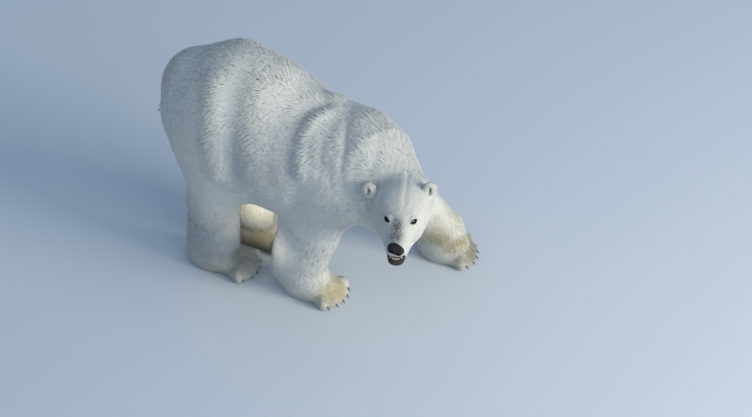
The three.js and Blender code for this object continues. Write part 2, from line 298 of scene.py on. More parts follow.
def faced(q, d, outline):
    """The head's own forms: lids, ear cups, forehead furrow, the groove under the nose, lips and the open
    mouth.
    """
    x, y, z = q.T
    above = 1 / (1 + np.exp(-z / 12))
    run = 1 / (1 + np.exp((x - 118) / 12))
    d = d + 2.6 * bump(y - 10, 12) * above * run
    d = d - 1.6 * bump(y + 14, 14) * above * run
    for s in (-1, 1):
        centre, long_way, up, out = eye_frame(s)
        r = np.sqrt(((q - centre) ** 2).sum(1))
        rise = (q - centre) @ out
        d = d + 2.2 * bump(r - 32, 12) * (rise > 0)
        d = join(d, r - eye_radius - lid_thickness, 12)
        opening = np.maximum(almond(q, s, *lid_slit), -rise)
        d = cut(d, np.maximum(opening, r - 60), 1.5)
        d = cut(d, ear_cup(q, s), 5)
    parted = np.maximum(np.maximum(z - mouth_height, jaw_top(q) - z), mouth_corner - x)
    d = cut(d, np.maximum(parted, -outline - 48), 5)
    to_lip = np.minimum(np.abs(z - mouth_height), np.abs(z - jaw_top(q)))
    rim = bump(to_lip - 5, 5) * (x > mouth_corner - 20)
    d = d - 1.6 * rim * (parted > 0)
    return d + 2.2 * bump(y - muzzle_side, 3) * (x > 285) * (z < -60) * (z > mouth_height)


def on_nose(q):
    """From the head's frame to the nose pad's own, tilted down to the bear's left."""
    tilt = math.radians(nose_tilt)
    x, y, z = (q - nose_middle).T
    return x, y * math.cos(tilt) - z * math.sin(tilt), y * math.sin(tilt) + z * math.cos(tilt)


def bare(q):
    """How bare and black the skin is: lids, lips, mouth, ear cups and the rim round the nose pad."""
    x, y, z = q.T
    black = np.zeros(len(q))
    for s in (-1, 1):
        centre, _, _, out = eye_frame(s)
        near = ((q - centre) ** 2).sum(1) < 40**2
        black = np.maximum(black, near * np.clip(1.4 - almond(q, s, *lid_rim) / 2.5, 0, 1))
    upper = np.clip(1.5 - np.maximum(z - mouth_height - 5, mouth_height - z) / 3, 0, 1)
    lower = np.clip(1.5 - np.maximum(z - jaw_top(q), jaw_top(q) - 9 - z) / 3, 0, 1)
    chin = np.clip(1.5 - np.maximum(z - jaw_top(q), jaw_top(q) - chin_depth - z) / 4, 0, 1)
    chin = chin * np.clip((x - 232) / 14, 0, 1)
    inside = (z < mouth_height) & (z > jaw_top(q))
    lips = np.maximum(np.maximum(upper, lower), inside) * np.clip((x - mouth_corner + 6) / 8, 0, 1)
    x, y, z = on_nose(q)
    pad = np.clip(1.5 - (oval(x, y, z, *nose_half) - 2) / 2, 0, 1)
    cups = [np.clip(-ear_cup(q, s) / 5, 0, 0.9) * (q[:, 0] > ears[s][0] - 14) for s in (-1, 1)]
    return np.maximum.reduce([black, lips, chin, pad, *cups])


def at_head(p):
    return (p - head[:3, 3]) @ head[:3, :3]


def skin_at(p):
    """Distance to the bare skin."""
    outline, own, coats = body(p)
    coat = (belonging(own) * coats).sum(0)
    d = folded(p, outline + coat)
    q = at_head(p)
    near = ((q > (-110, -230, -270)) & (q < (360, 230, 180))).all(1)
    if near.any():
        d[near] = d[near] - coat[near] * bare(q[near])
        d[near] = faced(q[near], d[near], outline[near])
    return np.maximum(d, floor_gap - p[:, 2])


def skin(p):
    return in_runs(skin_at, p)


def uphill(field, p, step=1.0):
    """The way out of the surface at each point, and how steep it is."""
    ways = np.array([(1, -1, -1), (-1, -1, 1), (-1, 1, -1), (1, 1, 1)], float)
    return sum(way * field(p + step * way)[:, None] for way in ways) / (4 * step)


def surface(field, low, high, block, fineness):
    """Points and faces where a field is nothing. Room is cut into blocks, and those near the surface
    into 1, 2, 4 or 8 cells a side. A crossed cell holds one point, and a crossed edge one face."""

    def one_number(place):
        return (place[:, 0] * span[1] + place[:, 1]) * span[2] + place[:, 2]

    low = np.asarray(low, float)
    count = np.ceil((np.asarray(high) - low) / block / 4).astype(int) * 4
    room = np.stack(np.meshgrid(*[np.arange(n // 4) for n in count], indexing="ij"), -1).reshape(-1, 3)
    room = room[np.abs(field(low + (room + 0.5) * 4 * block)) < 4 * block * 1.3]
    inner = np.stack(np.meshgrid(*[np.arange(4)] * 3, indexing="ij"), -1).reshape(-1, 3)
    grid = (room[:, None] * 4 + inner).reshape(-1, 3)
    centre = low + (grid + 0.5) * block
    near = np.abs(field(centre)) < block * 1.5
    grid, cells = grid[near], fineness(centre[near])
    across, first = np.zeros(count, np.int64), np.zeros(count, np.int64)
    across[tuple(grid.T)] = cells
    first[tuple(grid.T)] = np.cumsum(cells**3) - cells**3
    span = 8 * count + 1
    starts, axes, steps, rings = [], [], [], []
    for n in (1, 2, 4, 8):
        mine = grid[cells == n]
        if not len(mine):
            continue
        step = 8 // n
        for axis in range(3):
            sizes = [n + 1] * 3
            sizes[axis] = n
            local = np.stack(np.meshgrid(*map(np.arange, sizes), indexing="ij"), -1).reshape(-1, 3) * step
            start = (mine[:, None] * 8 + local).reshape(-1, 3)
            _, once = np.unique(one_number(start), return_index=True)
            start = start[once]
            ring, whole = [], np.ones(len(start), bool)
            for du, dv in ((-1, -1), (1, -1), (1, 1), (-1, 1)):
                at = 2 * start
                at[:, axis] += step
                at[:, (axis + 1) % 3] += du
                at[:, (axis + 2) % 3] += dv
                at >>= 1
                host = at >> 3
                whole &= ((host >= 0) & (host < count)).all(1)
                host = tuple(np.clip(host, 0, count - 1).T)
                whole &= (across[host] > 0) & (across[host] <= n)
                wide = np.maximum(across[host], 1)
                i, j, k = ((at & 7) * wide[:, None] >> 3).T
                ring.append(first[host] + (i * wide + j) * wide + k)
            starts.append(start[whole])
            axes.append(np.full(whole.sum(), axis))
            steps.append(np.full(whole.sum(), step))
            rings.append(np.stack(ring, 1)[whole])
    start, axis, step, ring = map(np.concatenate, (starts, axes, steps, rings))
    end = start.copy()
    end[np.arange(len(end)), axis] += step
    both = np.concatenate([start, end])
    _, once, where = np.unique(one_number(both), return_index=True, return_inverse=True)
    values = field(low + both[once] * block / 8)[where.reshape(-1)].reshape(2, -1)
    crossed = (values[0] < 0) != (values[1] < 0)
    start, end, step, ring = start[crossed], end[crossed], step[crossed], ring[crossed]
    values = values[:, crossed]
    share = (values[0] / (values[0] - values[1]))[:, None]
    meeting = low + (start + (end - start) * share) * block / 8
    ring[values[0] >= 0] = ring[values[0] >= 0][:, ::-1]
    used, faces = np.unique(ring, return_inverse=True)
    faces = faces.reshape(ring.shape)
    tally = np.bincount(faces.ravel(), minlength=len(used))
    points = [np.bincount(faces.ravel(), np.repeat(meeting[:, k], 4), len(used)) for k in range(3)]
    points = np.stack(points, 1) / tally[:, None]
    reach = np.full(len(used), 0.0)
    np.maximum.at(reach, faces.ravel(), np.repeat(step * block / 8 * 0.3, 4))
    for _ in range(2):
        slope = uphill(field, points, 0.6)
        shift = -field(points) / np.maximum((slope**2).sum(1), 0.2)
        points += slope * np.clip(shift, -reach, reach)[:, None]
    corners = [list(dict.fromkeys(face)) for face in faces.tolist()]
    return points, [c for c in corners if len(c) > 2]


def fineness(p):
    """Cells a side of a block: more at the paws and the head, and most at the eyes and the mouth."""
    q = at_head(p)
    cells = np.ones(len(p), int)
    cells[(p[:, 2] < 125)] = 2
    cells[(q[:, 0] > -110) & (np.abs(q[:, 1]) < 225) & (q[:, 2] > -230) & (q[:, 2] < 170)] = 2
    cells[(q[:, 0] > 40) & (q[:, 2] > -220)] = 4
    for s, ear in ears.items():
        cells[np.abs(q - ear - (0, 0, 18)).max(1) < 54] = 4
        cells[((q - (156, s * 66, 28)) ** 2).sum(1) < 34**2] = 8
    cells[(q[:, 0] > 218) & (q[:, 2] < -62) & (q[:, 2] > -142)] = 8
    return cells


def in_frame(p):
    """From millimetres about the body's own point to metres in the frame."""
    return (p - drawn_about) / 1000


def solid(name, points, faces):
    mesh = bpy.data.meshes.new(name)
    mesh.from_pydata(np.asarray(points).tolist(), [], faces)
    mesh.polygons.foreach_set("use_smooth", [True] * len(mesh.polygons))
    mesh.update()
    piece = bpy.data.objects.new(name, mesh)
    bpy.context.scene.collection.objects.link(piece)
    return piece


def mark(mesh, name, values):
    """Writes a value at each of a mesh's points, for its finish to read."""
    layer = mesh.attributes.new(name, "FLOAT", "POINT")
    layer.data.foreach_set("value", np.asarray(values, np.float32))


class Tone:
    """A value or colour that changes over a surface. Sums of values are worked out at each point of it."""

    def __init__(self, socket):
        self.socket = socket

    def node(self, kind, settings=(), sockets=(), out=None):
        """Adds a node: first its settings, then the values or links of its sockets."""
        tree = self.socket.id_data
        made = tree.nodes.new(kind)
        for name, value in dict(settings).items():
            setattr(made, name, value)
        offered = [s for s in made.inputs if s.enabled]
        for name, value in dict(sockets).items():
            named = [s for s in offered if s.name == name]
            socket = offered[name] if isinstance(name, int) else named[0]
            if isinstance(value, Tone):
                tree.links.new(value.socket, socket)
            else:
                socket.default_value = (*value, 1) if socket.type == "RGBA" else value
        given = [s for s in made.outputs if s.enabled]
        return Tone(given[0] if out is None else next(s for s in given if s.name == out))

    def sum(self, operation, *values):
        return self.node("ShaderNodeMath", {"operation": operation}, dict(enumerate(values)))

    def __add__(self, other):
        return self.sum("ADD", self, other)

    def __mul__(self, other):
        return self.sum("MULTIPLY", self, other)

    def __sub__(self, other):
        return self.sum("SUBTRACT", self, other)

    def __rsub__(self, other):
        return self.sum("SUBTRACT", other, self)

    __radd__, __rmul__ = __add__, __mul__

    def between(self, low, high):
        """0 below low and 1 above high."""
        return self.node("ShaderNodeMapRange", {"interpolation_type": "SMOOTHSTEP"},
                         {"Value": self, "From Min": low, "From Max": high})

    def mixed(self, first, second):
        """The first colour where this is 0 and the second where it is 1."""
        return self.node("ShaderNodeMix", {"data_type": "RGBA"}, {"Factor": self, "A": first, "B": second})

    def written(self, name):
        return self.node("ShaderNodeAttribute", {"attribute_name": name}, out="Fac")

    def grain(self, scale, detail=3.0, rough=0.55, stretch=(1, 1, 1)):
        """Soft random patches, about 1 / scale metres across."""
        place = self.node("ShaderNodeTexCoord", out="Object")
        place = self.node("ShaderNodeVectorMath", {"operation": "MULTIPLY"}, {0: place, 1: stretch})
        return self.node("ShaderNodeTexNoise", {},
                         {"Vector": place, "Scale": scale, "Detail": detail, "Roughness": rough}, "Fac")

    def relief(self, height, strength, depth):
        return self.node("ShaderNodeBump", {},
                         {"Height": height, "Strength": strength, "Distance": depth}, "Normal")


def finish(name, **fixed):
    """A new finish with its fixed values set, and its surface's sockets to be varied."""
    material = bpy.data.materials.new(name)
    material.use_nodes = True
    surface_node = material.node_tree.nodes["Principled BSDF"]
    for socket, value in fixed.items():
        socket = surface_node.inputs[socket.replace("_", " ").title().replace("Ior", "IOR")]
        socket.default_value = (*value, 1) if socket.type == "RGBA" else value
    return material, surface_node.inputs, Tone(surface_node.inputs["Base Color"])


def vary(sockets, name, tone):
    tone.socket.id_data.links.new(tone.socket, sockets[name])


# Colours of the coat, and its markings: yellow stain low on the legs, grey grime on the muzzle,
# and painted shade: the grime's grey also paints the left ear's shadow on the crown, and a
# second grey paints shade into the hollows and the flank, and shade with dirt on two legs.
coat_white, coat_shade = (0.80, 0.795, 0.745), (0.76, 0.75, 0.685)
stain_ochre, stain_olive = (0.60, 0.51, 0.295), (0.27, 0.25, 0.165)
# The second grey is painted shade, and on the right hind leg and the left fore paw also dirt.
grime_and_painted_shadow_grey, painted_shade_and_dirt_grey = (0.105, 0.11, 0.12), (0.36, 0.385, 0.42)
# Each stain: its middle, its half sizes, how strong it is, and how olive.
stains = [
    ((270, -180, 85), (110, 95, 85), 0.95, 0.05),
    ((225, -215, 60), (170, 120, 80), 0.5, 0.15),
    ((70, -180, 200), (190, 160, 330), 0.22, 0.0),
    ((-250, 60, 60), (170, 120, 130), 0.95, 0.3),
    ((-290, 60, 260), (150, 140, 190), 0.5, 0.0),
    ((660, 330, 260), (170, 170, 190), 0.55, 0.25),
    ((690, 285, 215), (95, 95, 85), 0.95, 0.5),
    ((765, 355, 160), (100, 90, 70), 0.9, 0.5),
    ((800, 420, 60), (120, 115, 75), 1.0, 1.0),
    ((680, 275, 305), (75, 85, 85), 0.55, 0.4),
    ((720, 365, 380), (110, 110, 130), 0.22, 0.0),
    ((-330, -190, 55), (190, 120, 70), 0.7, 0.9),
    ((-430, -200, 170), (120, 100, 110), 0.4, 1.0),
    ((-110, -290, 620), (150, 80, 70), 0.4, 0.2),
    ((60, 0, 440), (420, 140, 90), 0.35, 0.2),
]
# Where the second grey is painted: shade with dirt on the right hind leg and the left fore paw,
# and shade alone on the flank before the haunch.
painted_shade_and_dirt_patches = [
    ((-400, -240, 260), (200, 170, 340), 0.75),
    ((800, 420, 60), (120, 115, 75), 0.5),
    ((-100, -330, 1010), (230, 130, 190), 0.45),
]


def markings_and_painted_shade(p, q):
    """How stained, how olive and how grimy the coat is at each place, the grime holding a painted shadow
    of the left ear, and how much painted shade, with dirt on two legs, greys it.
    """

    def patch(centre, half):
        return np.exp(-((((p - centre) / half) ** 2).sum(1)) ** 1.5)

    stain, olive = np.zeros(len(p)), np.zeros(len(p))
    for centre, half, strength, green in stains:
        near = strength * patch(centre, half)
        olive = np.maximum(olive, near * green)
        stain = np.maximum(stain, near)
    x, y, z = q.T
    bridge = bump(x - 196, 36) * bump(y + 12, 31) * (z > -34) * 0.9
    nose_top = bump(x - 238, 50) * bump(y + 12, 36) * (z > -52) * 0.8
    # A painted shadow of the left ear, on the crown behind it, carried with the grime.
    painted_ear_shadow = 0.6 * np.exp(-(((q - (-60, 96, 104)) / 14) ** 2).sum(1))
    cups = np.zeros(len(p))
    for s, ear in ears.items():
        cups = np.maximum(cups, 0.9 * np.clip(0.5 - ear_cup(q, s) / 5, 0, 1) * (x > ear[0]))
    lip = 0.85 * bump(z - mouth_height - 7, 9) * (x > 262) * (np.abs(y - muzzle_side) < 44)
    # Painted shade: the coat greys in the skin's hollows, most where they are deepest.
    painted_shade_and_dirt = 0.75 * np.clip(folded(p, 0.0) / 30, 0, 1)
    for centre, half, strength in painted_shade_and_dirt_patches:
        painted_shade_and_dirt = np.maximum(painted_shade_and_dirt, strength * patch(centre, half))
    return stain, olive, np.maximum.reduce([bridge, nose_top, painted_ear_shadow, cups, lip]), painted_shade_and_dirt


def furred(tone, depth):
    """The coat's colour from its root to its tip, with its markings, the left ear's painted shadow and the
    painted shade.
    """
    patchy = tone.grain(9).between(0.35, 0.7)
    streaks = tone.grain(110, 3, 0.65, (1, 1, 0.35)).between(0.3, 0.7)
    white = (depth * 0.6 + streaks * 0.45).mixed(coat_shade, coat_white)
    # Painted shade, with dirt on two legs: the white greys where that mark is.
    white = (tone.written("painted_shade_and_dirt") * (streaks * 0.3 + 0.8)).mixed(white, painted_shade_and_dirt_grey)
    yellow = tone.written("olive").mixed(stain_ochre, stain_olive)
    worn = (tone.written("stain") * (patchy * 0.4 + streaks * 0.45 + 0.45)).between(0.05, 0.95)
    flecks = tone.grain(230, 3, 0.7).between(0.40, 0.62)
    # The grime and the left ear's painted shadow, darkening the coat in flecks.
    grimed_and_shadowed = (tone.written("grime_and_painted_shadow") * (flecks * 0.75 + streaks * 0.6 + 0.15)).between(0.06, 0.75)
    return grimed_and_shadowed.mixed(worn.mixed(white, yellow), grime_and_painted_shadow_grey)


points, faces = surface(skin, (-860, -602, -14), (1000, 660, 1420), 14, fineness)
outward = unit(uphill(skin, points, 1.5))
_, own, coats = body(points)
share = belonging(own)
depth = (share * coats).sum(0)
lie = share[:1].T * trunk_lie + share[1:].T @ np.array([m[2][2] for m in flesh])
in_head = at_head(points)
ahead, aside, aloft = in_head.T
blackness = bare(in_head) * (np.abs(aside) < 240) * (ahead > -60) * (aloft > -190)
gum = bump(aside - muzzle_side, 20) * (ahead > 150) * (aloft < mouth_height - 6) * (aloft > -190)
# The markings, the left ear's painted shadow and the painted shade at each point of the hide.
stain, olive, grime_and_painted_shadow, painted_shade_and_dirt = markings_and_painted_shade(points, in_head)

hide = solid("hide", in_frame(points), faces)
written = {"black": blackness, "stain": stain, "olive": olive, "grime_and_painted_shadow": grime_and_painted_shadow, "painted_shade_and_dirt": painted_shade_and_dirt, "gum": gum}
for name, values in written.items():
    mark(hide.data, name, values)
hide_finish, sockets, tone = finish("hide", roughness=0.8, specular_ior_level=0.3)
pores = tone.grain(420, 4)
skin_colour = (tone.grain(60, 3) * 0.6 + 0.1).mixed((0.009, 0.008, 0.009), (0.035, 0.030, 0.031))
skin_colour = tone.written("gum").mixed(skin_colour, (0.07, 0.045, 0.040))
black = tone.written("black").between(0.25, 0.6)
vary(sockets, "Base Color", black.mixed(furred(tone, tone.grain(90) * 0.5), skin_colour))
vary(sockets, "Roughness", 0.85 - black * 0.35)
vary(sockets, "Normal", tone.relief(pores, 0.35, 0.0015))
hide.data.materials.append(hide_finish)
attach(hide, "root")
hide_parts(*[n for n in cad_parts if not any(w in n for w in ("eye", "nose", "claw"))])

# ---------------------------------------------------------------------------------------------
# Eyes. Small wet balls, dark brown with a round black pupil and a clear bulge over it, held in the
# sockets by the lids, which cover all but the front of them.
# ---------------------------------------------------------------------------------------------
for s, side in ((-1, "right"), (1, "left")):
    centre, _, _, out = eye_frame(s)
    turn = Vector(head[:3, :3] @ out).to_track_quat("Z", "Y")
    rings = [(math.cos(a), math.sin(a)) for a in np.linspace(0, math.pi, 25)]
    ball, ball_faces = [], []
    for ring, (height, radius) in enumerate(rings):
        bulge = 1 + 0.05 * max(0, height - 0.8) / 0.2
        for step in range(32):
            around = 2 * math.pi * step / 32
            spot = Vector((radius * math.cos(around), radius * math.sin(around), height))
            ball.append(turn @ spot * bulge)
            after = ring * 32 + (step + 1) % 32
            if ring:
                ball_faces.append((ring * 32 + step - 32, ring * 32 + step, after, after - 32))
    middle = placed(head, centre)
    eye = solid(side + "_eyeball", in_frame(middle + eye_radius * np.array(ball)), ball_faces)
    mark(eye.data, "off_centre", [math.acos(rings[i // 32][0]) for i in range(len(ball))])
    eye_finish, sockets, tone = finish(side + " eye", roughness=0.06, coat_weight=1.0, coat_roughness=0.03)
    off = tone.written("off_centre")
    iris = (tone.grain(900, 2) * 0.6 + off * 0.5).mixed((0.022, 0.010, 0.005), (0.085, 0.036, 0.014))
    coloured = off.between(0.40, 0.46).mixed((0.002, 0.002, 0.002), iris)
    vary(sockets, "Base Color", off.between(0.80, 0.92).mixed(coloured, (0.015, 0.011, 0.010)))
    eye.data.materials.append(eye_finish)
    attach(eye, "root")
    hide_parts(side + "_eye")

# ---------------------------------------------------------------------------------------------
# Nose. A broad black pad of damp leathery skin let into the end of the muzzle, with two nostrils
# that run out into slits at the sides and a groove down the middle to the lip.
# ---------------------------------------------------------------------------------------------
def nose_at(p):
    """Distance to the pad: its oval, a wing at each side, the nostrils, their slits and the groove."""
    x, y, z = on_nose(at_head(p))
    y = np.abs(y)
    pad = oval(x, y, z, *nose_half)
    pad = join(pad, oval(x - 13, y - 22, z + 4, 15, 17, 17), 10)
    pad = cut(pad, oval(x - 28, y - 17, z + 5, 17, 8, 9), 4)
    pad = cut(pad, oval(x - 16, y - 34, z + 10, 13, 12, 3.4), 3)
    pad = pad + 3.0 * bump(y, 2.6) * (x > 0) * (1 / (1 + np.exp((z + 4) / 4)))
    return pad + 1.0 * bump(y, 6) * (z > 0)


def small_surface(place, field, cells):
    """The surface of a small field round a place in the head's frame, with so many cells a block."""
    middle = placed(head, place)
    return surface(field, middle - 60, middle + 60, 13, lambda p: np.full(len(p), cells))


nose_points, nose_faces = small_surface(nose_middle, nose_at, 8)
nose = solid("nose_pad", in_frame(nose_points), nose_faces)
nose_finish, sockets, tone = finish("nose leather", roughness=0.5, specular_ior_level=0.3)
place = tone.node("ShaderNodeTexCoord", out="Object")
cells = tone.node("ShaderNodeTexVoronoi", {"feature": "DISTANCE_TO_EDGE"},
                  {"Vector": place, "Scale": 420.0}, "Distance")
vary(sockets, "Base Color", tone.grain(70, 3).mixed((0.003, 0.003, 0.004), (0.014, 0.012, 0.013)))
vary(sockets, "Roughness", tone.grain(50) * 0.3 + 0.35)
vary(sockets, "Normal", tone.relief(cells.between(0.0, 0.35) + tone.grain(300) * 0.3, 0.6, 0.0012))
nose.data.materials.append(nose_finish)
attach(nose, "root")
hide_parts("nose")

# ---------------------------------------------------------------------------------------------
# Teeth. Ivory teeth in the gums of both jaws, six small incisors between two hooked canines, all
# of one jaw in one row, the lower ones just inside the black lip.
# ---------------------------------------------------------------------------------------------
tooth_finish, sockets, tone = finish("tooth ivory", roughness=0.28)
worn = tone.written("to_root") * 0.7 + tone.grain(500, 2) * 0.3
vary(sockets, "Base Color", worn.mixed((0.80, 0.74, 0.60), (0.42, 0.31, 0.17)))
vary(sockets, "Roughness", tone.grain(200) * 0.2 + 0.2)
tooth_pitch = 6.6
# Each row: up or down, how far forward it is, and then how far out a canine is, and the heights.
rows = {"lower_teeth": (1, 279, 27, 21, 8.5), "upper_teeth": (-1, 292, 30, 22, 8.0)}
for name, (way, front, canine_side, canine, incisor) in rows.items():
    tooth_points, tooth_faces, to_root = [], [], []
    for k in (-4, -2.5, -1.5, -0.5, 0.5, 1.5, 2.5, 4):
        hooked = abs(k) == 4
        side = canine_side * np.sign(k) if hooked else k * tooth_pitch
        ahead = front - (14 if hooked else 0.45 * k * k)
        tall, wide, deep = (canine, 5.6, 6.2) if hooked else (incisor, 3.1, 2.6)
        foot = jaw_top(np.array([[ahead, 0, 0]]))[0] - 4 if way > 0 else mouth_height + 4
        first = len(tooth_points)
        for t in np.linspace(0, 1, 7):
            width = wide * (1 - t**1.6) + 0.5 if hooked else wide * (1 - 0.75 * t**5)
            depth_here = deep * (1 - t**1.6) + 0.5 if hooked else deep * (1 - 0.8 * t**2)
            back = 7 * t * t if hooked else 1.5 * t
            for a in np.linspace(0, 2 * math.pi, 10, endpoint=False):
                x, y = ahead - back + depth_here * math.cos(a), side + muzzle_side + width * math.sin(a)
                tooth_points.append(placed(head, (x, y, foot + way * t * (tall + 4))))
                to_root.append(1 - t)
        for r in range(6):
            for j in range(10):
                a, b = first + r * 10 + j, first + r * 10 + (j + 1) % 10
                tooth_faces.append((a, b, b + 10, a + 10)[::way])
        tooth_faces.append(tuple(range(first, first + 10))[::-way])
        tooth_faces.append(tuple(range(first + 60, first + 70))[::way])
    teeth = solid(name, in_frame(np.array(tooth_points)), tooth_faces)
    mark(teeth.data, "to_root", to_root)
    teeth.data.materials.append(tooth_finish)
    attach(teeth, "root")

# ---------------------------------------------------------------------------------------------
# Tongue. A flat dark pink muscle with a groove down it, lying on the floor of the mouth behind
# the lower teeth.
# ---------------------------------------------------------------------------------------------
tongue_middle = (236, -8, -108)


def tongue_at(p):
    q = at_head(p)
    x, y = q[:, 0] - tongue_middle[0], np.abs(q[:, 1] - tongue_middle[1])
    z = q[:, 2] - mouth_height + (q[:, 0] - mouth_hinge) * mouth_drop
    return oval(x, y, z, 36, 19, 7) + 1.6 * bump(y, 4)


tongue_points, tongue_faces = small_surface(tongue_middle, tongue_at, 4)
tongue = solid("tongue_flesh", in_frame(tongue_points), tongue_faces)
tongue_finish, sockets, tone = finish("tongue", roughness=0.45)
vary(sockets, "Base Color", tone.grain(90, 3).mixed((0.06, 0.026, 0.027), (0.13, 0.055, 0.055)))
vary(sockets, "Normal", tone.relief(tone.grain(900, 2), 0.4, 0.0008))
tongue.data.materials.append(tongue_finish)
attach(tongue, "root")

# ---------------------------------------------------------------------------------------------
# Claws. Short thick hooks of dark horn, rooted in the toes, deeper than they are wide and worn
# blunt and paler at the point.
# ---------------------------------------------------------------------------------------------
claw_finish, sockets, tone = finish("claw horn", roughness=0.35)
worn = tone.grain(240, 3, 0.6, (1, 1, 3)) * 0.7 + tone.written("along") * 0.35
vary(sockets, "Base Color", worn.mixed((0.010, 0.008, 0.007), (0.075, 0.052, 0.036)))
vary(sockets, "Normal", tone.relief(tone.grain(500, 2), 0.25, 0.001))
for part, m, length in feet:
    side, kind = part.split()[0], "fore" if "fore" in part else "hind"
    for i in range(-2, 3):
        root = np.array([100 - 8 * i * i, i * 47.5, 34])
        claw_points, along = [], []
        for t in np.linspace(0, 1, 9):
            run, thick = t * length, 9.8 * (1 - t) ** 0.55 * (1 - 0.15 * t) + 0.9
            middle = root + (run, 0, 0.2 * run - run * run / (1.45 * length))
            for a in np.linspace(0, 2 * math.pi, 10, endpoint=False):
                out = (0, 0.85 * thick * math.cos(a), 1.1 * thick * math.sin(a))
                claw_points.append(placed(m, middle + out))
                along.append(t)
        after = [k // 10 * 10 + (k + 1) % 10 for k in range(80)]
        shape = [(k, k + 10, after[k] + 10, after[k]) for k in range(80)]
        shape += [tuple(range(10)), tuple(range(89, 79, -1))]
        claw = solid(f"{side}_{kind}_horn_{i + 3}", in_frame(np.array(claw_points)), shape)
        mark(claw.data, "along", along)
        claw.data.materials.append(claw_finish)
        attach(claw, "root")
        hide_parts(f"{side}_{kind}_claw_{i + 3}")

# ---------------------------------------------------------------------------------------------
# Coat. Locks of guard hair over the whole hide, rooted in it and lying from the nose back to the
# rump and down the legs, longest on the trunk and under it, and shortest on the face and the toes.
# ---------------------------------------------------------------------------------------------
chance = np.random.default_rng(7)
share_drawn = 1.0
most_locks = 33000  # in any one piece of the coat
# Some locks are short, broad underwool, and the rest are thin guard hair.
woolly_share, woolly_height, woolly_breadth = 0.42, 0.86, 2.3


def split(faces):
    """The three corners of each triangle of the faces."""
    return np.array([(f[0], f[k], f[k + 1]) for f in faces for k in range(1, len(f) - 1)])


def gathered(p, size):
    """The middle of the clump that each point belongs to, and a chance number for that clump."""
    jitter = np.random.default_rng(11).random((65536, 4))
    home = np.floor(p / size[:, None]).astype(np.int64)
    best, centre, number = np.full(len(p), 1e18), np.zeros_like(p), np.zeros(len(p))
    for step in np.stack(np.meshgrid(*[(-1, 0, 1)] * 3), -1).reshape(-1, 3):
        room = home + step
        seed = jitter[(room[:, 0] * 7919 + room[:, 1] * 104729 + room[:, 2] * 1299709) & 65535]
        middle = (room + seed[:, :3]) * size[:, None]
        far = ((p - middle) ** 2).sum(1)
        nearer = far < best
        best[nearer], centre[nearer], number[nearer] = far[nearer], middle[nearer], seed[nearer, 3]
    return centre, number


def part_of(p, q, share):
    """The name of the coat's part that each point lies in."""
    names = np.array(["trunk"] + [m[-1] for m in flesh], object)[share.argmax(0)]
    side = np.where(p[:, 1] < 0, "right ", "left ")
    trunk = names == "trunk"
    along = np.where(p[:, 0] > 130, "shoulder", np.where(p[:, 0] > -230, "flank", "haunch"))
    names[trunk] = np.char.add(side, along)[trunk]
    both = np.array([n.endswith("shoulder") or n.endswith("haunch") for n in names])
    names[both] = [s + n.split()[1] for s, n in zip(side[both], names[both])]
    names[(names == "face") & (q[:, 0] < 60)] = "crown"
    names[(names == "crown") & (q[:, 0] >= 60)] = "face"
    return names


corners = split(faces)
a, b, c = points[corners].transpose(1, 0, 2)
area = np.linalg.norm(np.cross(b - a, c - a), axis=1) / 2
spacing = 1.62 * depth**0.37
hidden = (points[:, 2] < 9) & (outward[:, 2] < -0.3)
thick = np.where(hidden, 0, 1) * np.clip(1.2 - 2.4 * blackness, 0, 1) / spacing**2
wanted = area * thick[corners].mean(1) * share_drawn
count = np.floor(wanted + chance.random(len(area))).astype(int)
home = corners[np.repeat(np.arange(len(area)), count)]
weight = chance.dirichlet((1, 1, 1), len(home))


def over(values):
    """A value of the hide's points, taken at each lock's root."""
    return np.einsum("nk,nk...->n...", weight, values[home])


root, up = over(points), unit(over(outward))
coat, stain_here, olive_here = over(depth), over(stain), over(olive)
# The grime with the left ear's painted shadow, and the painted shade with dirt, at each root.
grime_and_painted_shadow_here, painted_shade_and_dirt_here = over(grime_and_painted_shadow), over(painted_shade_and_dirt)
place = part_of(points, in_head, share)[home[:, 0]]
shaggy = np.array(["leg" in n for n in place]) * 1.0
fore = np.array(["foreleg" in n for n in place])

# The way each lock lies along the skin. It swirls a little, and hangs down the sides, the rump and
# the belly. The hair is longer under the trunk and behind the forelegs.
noise.seed_set(7)
swirl = np.array([noise.noise_vector(Vector(p) / 140) for p in root.tolist()]) * 0.35
flow = over(unit(lie)) + swirl + chance.normal(0, 0.11, root.shape)
under = np.clip(-up[:, 2] - 0.2, 0, 1) * (root[:, 2] > 300)
behind = np.clip(-up[:, 0] - 0.1, 0, 1) * (root[:, 2] < 470) * (root[:, 2] > 60) * fore
flow[:, 2] -= 0.5 * under + 1.2 * np.clip(-up[:, 0] - 0.3, 0, 1) + 0.8 * over(share[0]) * np.abs(up[:, 1])
flow = unit(flow - (flow * up).sum(1)[:, None] * up)
reach = coat * 2.2 * (1 + 0.6 * under + 0.9 * behind + 0.5 * shaggy) * chance.uniform(0.75, 1.2, len(root))

# The shape of each lock: its points are drawn to the middle of a clump, and its tip rises to the
# depth of the coat there.
centre, clump = gathered(root + flow * reach[:, None] * 0.6, 9 + coat * 0.75)
woolly = chance.random(len(root)) < woolly_share
rise = coat * np.where(woolly, woolly_height, chance.uniform(0.965, 1.0, len(root)))
rise = rise * (0.98 + 0.02 * clump) * (1 + 0.35 * behind)
rise = rise * (1 + shaggy * (0.30 * clump - 0.05))
half = np.where(woolly, woolly_breadth, 1.0) * (0.6 + 0.062 * coat)
run = flow * reach[:, None]
drawn = centre - root - run
drawn -= (drawn * up).sum(1)[:, None] * up
drawn = drawn * (0.10 + 0.35 * shaggy)[:, None]
tip = root + run + drawn + up * (rise * 0.97)[:, None]
middle = root + (run + drawn) * 0.38 + up * (rise * 0.92)[:, None]
across = unit(np.cross(up, flow))
tint = np.clip(0.4 + (0.3 + 0.5 * shaggy) * (clump - 0.5) + chance.normal(0, 0.16, len(root)), 0, 1)

